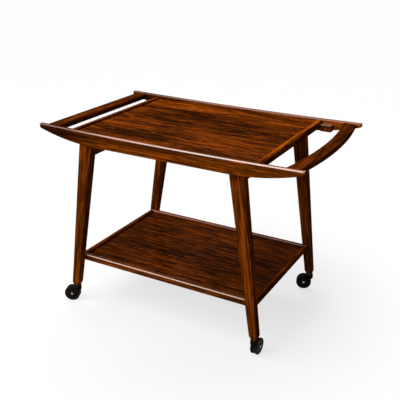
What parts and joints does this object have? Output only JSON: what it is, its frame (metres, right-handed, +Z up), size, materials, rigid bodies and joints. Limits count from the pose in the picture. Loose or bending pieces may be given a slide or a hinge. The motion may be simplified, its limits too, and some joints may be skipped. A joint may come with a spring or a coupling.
{
  "type": "bar cart",
  "caption": "Wooden serving cart with a sunk tray between boat-shaped side rails, a straight and a bowed end handle, splayed tapered legs, a lipped lower shelf and swivel casters",
  "frame": {"origin": "middle of the footprint of the whole cart, on the floor", "axes": "X along the cart to the bowed handle, Y across to the rear, Z up"},
  "size_m": [0.773, 0.477, 0.5469],
  "materials": {
    "rail_wood": "oiled and varnished reddish rosewood, glossy, straight dark grain",
    "handle_wood": "varnished reddish rosewood, glossy, worn a little lighter by hands",
    "tray_veneer": "polished rosewood veneer, mirror-like, grain along the cart",
    "shelf_veneer": "polished rosewood veneer, mirror-like, grain along the cart",
    "lip_wood": "varnished rosewood edging, glossy",
    "apron_wood": "varnished dark rosewood",
    "leg_wood": "varnished rosewood, glossy, grain along the leg",
    "dowel_wood": "plain beech",
    "screw_steel": "plain zinc-plated steel",
    "caster_steel": "bright plated steel",
    "axle_steel": "bright polished steel",
    "caster_plastic": "black moulded plastic, satin",
    "wheel_plastic": "black moulded plastic wheel, satin, lightly scuffed tread"
  },
  "bodies": {
    "cart": {"front_side_rail": "rail_wood", "rear_side_rail": "rail_wood", "left_handle_bar": "handle_wood", "right_bow_handle": "handle_wood", "tray_panel": "tray_veneer", "tray_left_lip": "lip_wood", "tray_right_crossbar": "lip_wood", "front_stop_block": "lip_wood", "rear_stop_block": "lip_wood", "left_apron": "apron_wood", "right_apron": "apron_wood", "front_left_leg": "leg_wood", "front_right_leg": "leg_wood", "rear_left_leg": "leg_wood", "rear_right_leg": "leg_wood", "shelf_panel": "shelf_veneer", "shelf_front_lip": "lip_wood", "shelf_rear_lip": "lip_wood", "shelf_left_lip": "lip_wood", "shelf_right_lip": "lip_wood", "left_handle_dowels": "dowel_wood", "bow_handle_dowels": "dowel_wood", "left_apron_dowels": "dowel_wood", "right_apron_dowels": "dowel_wood", "shelf_dowels": "dowel_wood", "leg_screws": "screw_steel", "crossbar_screws": "screw_steel", "stop_block_screws": "screw_steel", "front_left_caster_socket": "caster_steel", "front_right_caster_socket": "caster_steel", "rear_left_caster_socket": "caster_steel", "rear_right_caster_socket": "caster_steel"},
    "front_left_caster": {"front_left_caster_stem": "caster_steel", "front_left_caster_housing": "caster_plastic", "front_left_caster_axle": "axle_steel"},
    "front_left_left_wheel": {"front_left_caster_left_wheel": "wheel_plastic"},
    "front_left_right_wheel": {"front_left_caster_right_wheel": "wheel_plastic"},
    "front_right_caster": {"front_right_caster_stem": "caster_steel", "front_right_caster_housing": "caster_plastic", "front_right_caster_axle": "axle_steel"},
    "front_right_left_wheel": {"front_right_caster_left_wheel": "wheel_plastic"},
    "front_right_right_wheel": {"front_right_caster_right_wheel": "wheel_plastic"},
    "rear_left_caster": {"rear_left_caster_stem": "caster_steel", "rear_left_caster_housing": "caster_plastic", "rear_left_caster_axle": "axle_steel"},
    "rear_left_left_wheel": {"rear_left_caster_left_wheel": "wheel_plastic"},
    "rear_left_right_wheel": {"rear_left_caster_right_wheel": "wheel_plastic"},
    "rear_right_caster": {"rear_right_caster_stem": "caster_steel", "rear_right_caster_housing": "caster_plastic", "rear_right_caster_axle": "axle_steel"},
    "rear_right_left_wheel": {"rear_right_caster_left_wheel": "wheel_plastic"},
    "rear_right_right_wheel": {"rear_right_caster_right_wheel": "wheel_plastic"}
  },
  "joints": [
    {"name": "front_left_swivel", "type": "hinge", "parent": "cart", "child": "front_left_caster", "pos_m": [-0.309, -0.20875, 0.023], "axis": [0, 0, 1], "continuous": true},
    {"name": "front_left_left_wheel_spin", "type": "hinge", "parent": "front_left_caster", "child": "front_left_left_wheel", "pos_m": [-0.32383, -0.21474, 0.023], "axis": [-0.3746, 0.9272, 0], "continuous": true},
    {"name": "front_left_right_wheel_spin", "type": "hinge", "parent": "front_left_caster", "child": "front_left_right_wheel", "pos_m": [-0.32383, -0.21474, 0.023], "axis": [-0.3746, 0.9272, 0], "continuous": true},
    {"name": "front_right_swivel", "type": "hinge", "parent": "cart", "child": "front_right_caster", "pos_m": [0.274, -0.20875, 0.023], "axis": [0, 0, 1], "continuous": true},
    {"name": "front_right_left_wheel_spin", "type": "hinge", "parent": "front_right_caster", "child": "front_right_left_wheel", "pos_m": [0.27456, -0.19276, 0.023], "axis": [0.9994, -0.0349, 0], "continuous": true},
    {"name": "front_right_right_wheel_spin", "type": "hinge", "parent": "front_right_caster", "child": "front_right_right_wheel", "pos_m": [0.27456, -0.19276, 0.023], "axis": [0.9994, -0.0349, 0], "continuous": true},
    {"name": "rear_left_swivel", "type": "hinge", "parent": "cart", "child": "rear_left_caster", "pos_m": [-0.309, 0.20875, 0.023], "axis": [0, 0, 1], "continuous": true},
    {"name": "rear_left_left_wheel_spin", "type": "hinge", "parent": "rear_left_caster", "child": "rear_left_left_wheel", "pos_m": [-0.32211, 0.19957, 0.023], "axis": [-0.5736, 0.8192, 0], "continuous": true},
    {"name": "rear_left_right_wheel_spin", "type": "hinge", "parent": "rear_left_caster", "child": "rear_left_right_wheel", "pos_m": [-0.32211, 0.19957, 0.023], "axis": [-0.5736, 0.8192, 0], "continuous": true},
    {"name": "rear_right_swivel", "type": "hinge", "parent": "cart", "child": "rear_right_caster", "pos_m": [0.274, 0.20875, 0.023], "axis": [0, 0, 1], "continuous": true},
    {"name": "rear_right_left_wheel_spin", "type": "hinge", "parent": "rear_right_caster", "child": "rear_right_left_wheel", "pos_m": [0.25878, 0.20381, 0.023], "axis": [-0.309, 0.9511, 0], "continuous": true},
    {"name": "rear_right_right_wheel_spin", "type": "hinge", "parent": "rear_right_caster", "child": "rear_right_right_wheel", "pos_m": [0.25878, 0.20381, 0.023], "axis": [-0.309, 0.9511, 0], "continuous": true}
  ]
}
